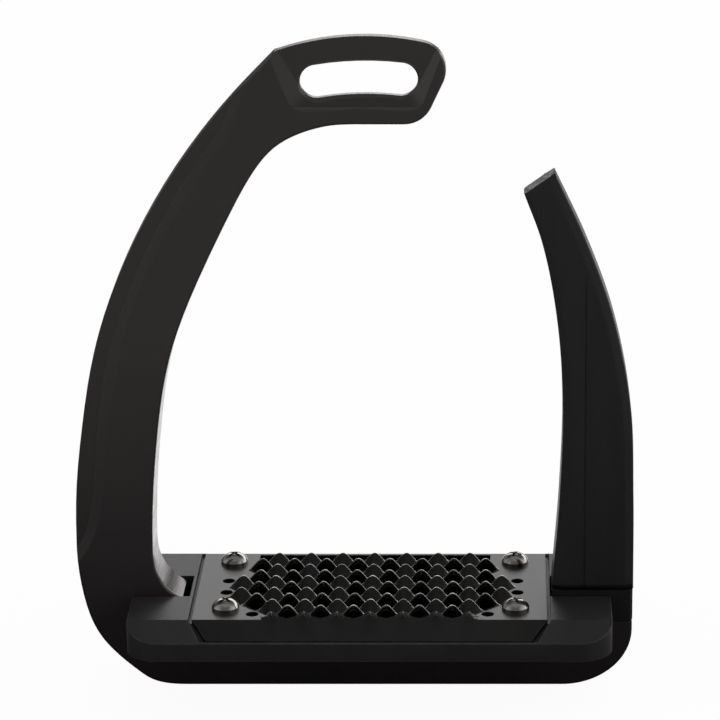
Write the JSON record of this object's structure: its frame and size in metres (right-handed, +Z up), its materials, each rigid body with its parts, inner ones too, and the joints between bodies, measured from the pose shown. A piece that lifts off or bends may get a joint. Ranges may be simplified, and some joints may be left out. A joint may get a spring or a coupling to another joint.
{
  "type": "safety stirrup iron",
  "caption": "Black safety stirrup iron with an arched leather slot, a toothed tread plate and a flexible release arm on one side.",
  "frame": {"origin": "on the flat underside of the bottom bar, in the middle of the frame's thickness, under the middle of the tread plate", "axes": "+X across the foot opening towards the release arm, -Y the front as pictured, +Z up"},
  "size_m": [0.1661, 0.0726, 0.1986],
  "materials": {
    "frame_metal": "satin black anodised",
    "base_nylon": "fine matt moulded texture, glass-filled nylon",
    "plate_steel": "satin black coated steel sheet, bright on the tooth edges",
    "screw_steel": "polished dark nickel",
    "insert_brass": "turned",
    "arm_elastomer": "matt moulded elastomer",
    "root_nylon": "matt moulded",
    "spring_steel": "hardened strip"
  },
  "bodies": {
    "stirrup": {"frame": "frame_metal", "tread_base": "base_nylon", "tread_plate": "plate_steel", "tread_screws": "screw_steel", "tread_screw_inserts": "insert_brass", "base_screws": "screw_steel", "arm_root_block": "root_nylon", "arm_spring_leaf": "spring_steel", "arm_root_screws": "screw_steel"},
    "arm": {"release_arm": "arm_elastomer"}
  },
  "joints": [
    {"name": "release_arm_flex", "type": "hinge", "parent": "stirrup", "child": "arm", "pos_m": [0.0783, 0, 0.0308], "axis": [0, 1, 0], "range_deg": [0, 50], "stiffness_Nm_per_rad": 8, "deforming": ["arm_spring_leaf"]}
  ]
}
